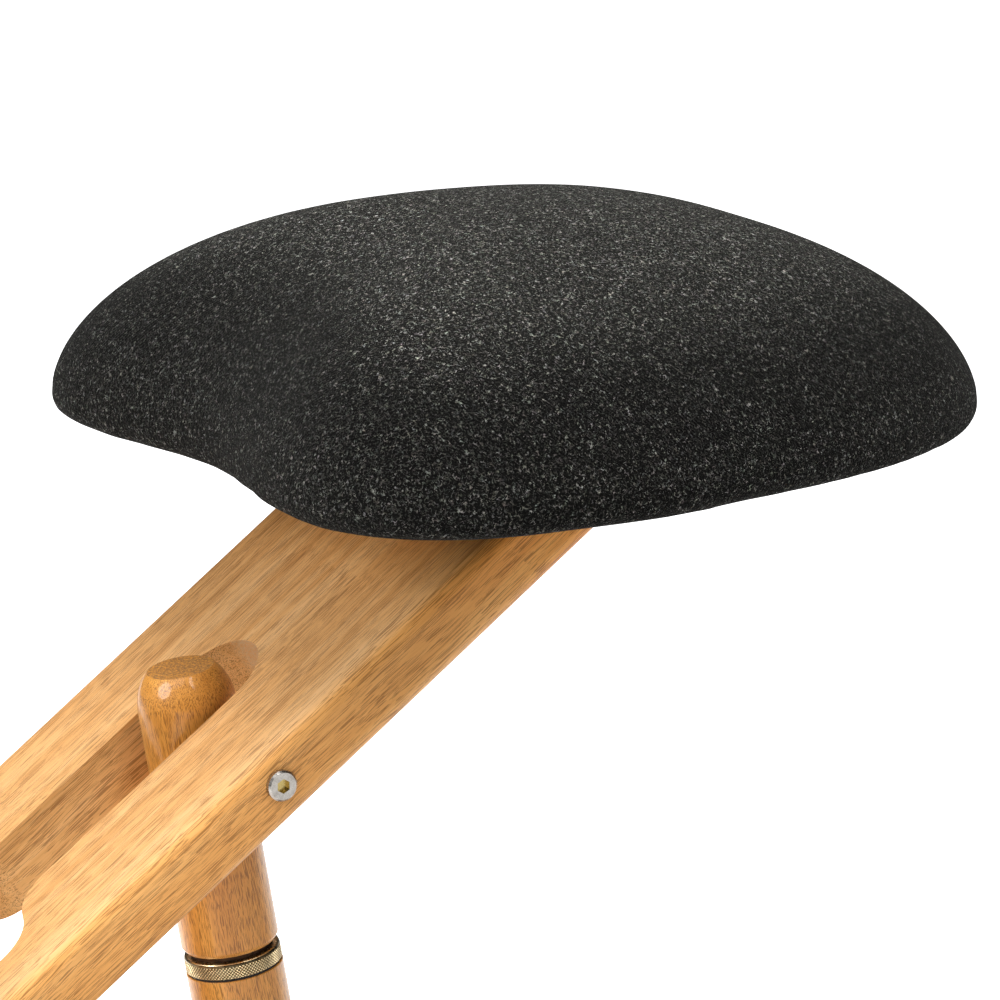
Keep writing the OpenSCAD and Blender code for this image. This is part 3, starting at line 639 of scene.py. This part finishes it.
def cushion_form(plan, height, bottom, outset=0.0, front_fill=0.0):
    """Points and faces of a closed crowned cushion, in millimetres about the base's middle.

    Its low edge is a quarter round. outset widens the plan, and front_fill moves the front's
    notch out as it rises."""
    reach = np.linalg.norm(plan, axis=1)[:, None]
    notch = np.exp(-(plan[:, 0] / NOTCH_REACH) ** 2) * (plan[:, 1] < 0)
    shares = [(k / EDGE_RINGS, 0, bottom) for k in range(1, EDGE_RINGS)]
    for k in range(EDGE_RINGS + 1):
        angle = math.pi / 2 * k / EDGE_RINGS
        shares.append((1, LOW_EDGE * (1 - math.sin(angle)),
                       bottom + LOW_EDGE * (1 - math.cos(angle))))
    for k in range(1, CROWN_RINGS):
        angle = math.pi / 2 * k / CROWN_RINGS
        rise = (height - bottom - LOW_EDGE) * math.sin(angle) ** (2 / TOP_POWER)
        shares.append((math.cos(angle) ** (2 / SIDE_POWER), 0, bottom + LOW_EDGE + rise))
    points = [(0, 0, bottom)]
    for share, edge, z in shares:
        ring = plan * share * (1 - (edge - outset) / reach)
        if z > bottom + LOW_EDGE:
            ring[:, 1] -= notch * front_fill * share * (1 - share ** 4)
        points += [(x, y, z) for x, y in ring]
    points.append((0, 0, height))
    sides = len(plan)
    faces = [tuple(1 + i for i in quad) for quad in ring_faces(len(shares), sides)]
    last = 1 + (len(shares) - 1) * sides
    faces += [(0, 1 + (i + 1) % sides, 1 + i) for i in range(sides)]
    faces += [(last + i, last + (i + 1) % sides, len(points) - 1) for i in range(sides)]
    return points, faces


def place(points, origin, tilt):
    """Millimetres about the cushion's base to metres in the shared frame."""
    turn = Matrix.Rotation(tilt, 3, "X")
    return [origin + turn @ (Vector(p) * MM) for p in points]


def swell_as_cloth(obj, origin, tilt):
    """Blows the cushion up as cloth and keeps each point within SWELL of its start."""
    start = mesh_points(obj)
    normal = np.array(Matrix.Rotation(tilt, 3, "X") @ Vector((0, 0, 1)))
    heights = (start - np.array(origin)) @ normal
    group = obj.vertex_groups.new(name="held")
    for i in np.nonzero(heights < HELD_BELOW)[0]:
        group.add([int(i)], 1.0, "REPLACE")
    cloth = obj.modifiers.new("cloth", "CLOTH")
    settings = cloth.settings
    settings.use_pressure = True
    settings.uniform_pressure_force = PRESSURE
    settings.effector_weights.gravity = 0
    settings.vertex_group_mass = "held"
    settings.tension_stiffness = STRETCH_STIFFNESS
    settings.compression_stiffness = STRETCH_STIFFNESS
    settings.bending_stiffness = BEND_STIFFNESS
    cloth.point_cache.frame_start = 1
    cloth.point_cache.frame_end = CLOTH_FRAMES
    for number in range(1, CLOTH_FRAMES + 1):
        bpy.context.scene.frame_set(number)
    apply_modifiers(obj)
    bpy.context.scene.frame_set(1)
    obj.vertex_groups.clear()
    moved = mesh_points(obj) - start
    far = np.linalg.norm(moved, axis=1)[:, None]
    moved *= np.minimum(1, SWELL / np.maximum(far, 1e-9))
    set_points(obj, start + moved)


def soften(obj, origin, tilt):
    """Remeshes the cushion evenly, swells it and smooths it."""
    remesh = obj.modifiers.new("remesh", "REMESH")
    remesh.mode = "VOXEL"
    remesh.voxel_size = VOXEL
    apply_modifiers(obj)
    swell_as_cloth(obj, origin, tilt)
    smooth = obj.modifiers.new("settle", "SMOOTH")
    smooth.factor = 0.5
    smooth.iterations = 6
    fine = obj.modifiers.new("fine", "SUBSURF")
    fine.levels = fine.render_levels = 1
    apply_modifiers(obj)
    obj.data.polygons.foreach_set("use_smooth", [True] * len(obj.data.polygons))


def add_cushion(name, plan, origin, tilt, body, form, covers):
    """A stuffed wool cushion that stands for its CAD cover and foam."""
    points, faces = cushion_form(plan, **form)
    cushion = mesh_object(name, place(points, origin, tilt), faces, "wool")
    soften(cushion, origin, tilt)
    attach(cushion, body)
    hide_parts(*covers)


def add_cushions():
    seat_origin = PIVOT + Vector((0, SEAT_MID * MM, SEAT_RISE * MM))
    knee_origin = FRAME_PIVOT + Matrix.Rotation(PLANK_SLOPE, 3, "X") @ (
        Vector((0, -KNEE_START - KNEE_LENGTH / 2, PIVOT_DEPTH)) * MM)
    add_cushion("seat_cushion", seat_plan(), seat_origin, SEAT_TILT, "seat_frame",
                SEAT_FORM, ("seat_cover", "seat_foam"))
    add_cushion("knee_cushion", knee_plan(), knee_origin, PLANK_SLOPE, "knee_frame",
                KNEE_FORM, ("knee_cover", "knee_foam"))


# ---- Lock ring ----

def ring_profile():
    """Radius, height above the ring's end and knurl depth, round the ring's section."""
    high = RING_END - RING_TOP
    rows = [(RING_BORE, 0, 0), (RING_RADIUS - 0.6, 0, 0), (RING_RADIUS - 0.35, 0.12, 0)]
    for k in range(KNURL_ROWS + 1):
        rows.append((RING_RADIUS, KNURL_LOW + (KNURL_HIGH - KNURL_LOW) * k / KNURL_ROWS,
                     KNURL_DEPTH))
    rows += [(RING_RADIUS - 0.2, KNURL_HIGH + 0.08, 0), (RING_RADIUS - 0.25, KNURL_HIGH + 0.2, 0),
             (RING_RADIUS - 0.12, KNURL_HIGH + 0.3, 0), (RING_RADIUS - 0.3, high - 0.55, 0),
             (RING_RADIUS - 0.6, high - 0.2, 0), (RING_RADIUS - 1.0, high - 0.03, 0),
             (RING_RADIUS - 1.4, high, 0), (RING_BORE, high, 0)]
    return rows


def add_lock_ring():
    """Collar with a knurl of small pyramids between two sets of crossing grooves."""
    turn = Vector((0, 0, 1)).rotation_difference(STRUT_AXIS).to_matrix()
    rows = np.array(ring_profile())
    radius, height, depth = (rows[:, k, None] for k in range(3))
    angle = np.arange(RING_SIDES)[None, :] * 2 * math.pi / RING_SIDES
    lead = height / RING_RADIUS
    ways = [np.abs(np.sin((angle + way * lead) * KNURL_GROOVES / 2)) for way in (-1, 1)]
    reach = radius - depth * np.maximum(0, 1 - KNURL_STEEPNESS * np.minimum(*ways))
    level = np.broadcast_to(height - RING_END, reach.shape)
    points = np.stack([reach * np.cos(angle), reach * np.sin(angle), level], 2).reshape(-1, 3)
    points = points * MM @ np.array(turn).T + np.array(PIVOT)
    faces = ring_faces(len(rows), RING_SIDES)
    last = (len(rows) - 1) * RING_SIDES
    faces += [(last + i, last + (i + 1) % RING_SIDES, (i + 1) % RING_SIDES, i)
              for i in range(RING_SIDES)]
    ring = mesh_object("knurled_lock_ring", points, faces, "antique", smooth=False)
    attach(ring, "ring")
    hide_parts("lock_ring")


# ---- Floor ----

def add_floor():
    corners = [(-1, -1), (1, -1), (1, 1), (-1, 1)]
    points = [(x * FLOOR_HALF, y * FLOOR_HALF, 0) for x, y in corners]
    floor = mesh_object("floor", points, [(0, 1, 2, 3)], "floor")


add_camera()
add_studio()
dress_nodes()
smooth_nodes()
add_floor()
add_cushions()
add_lock_ring()
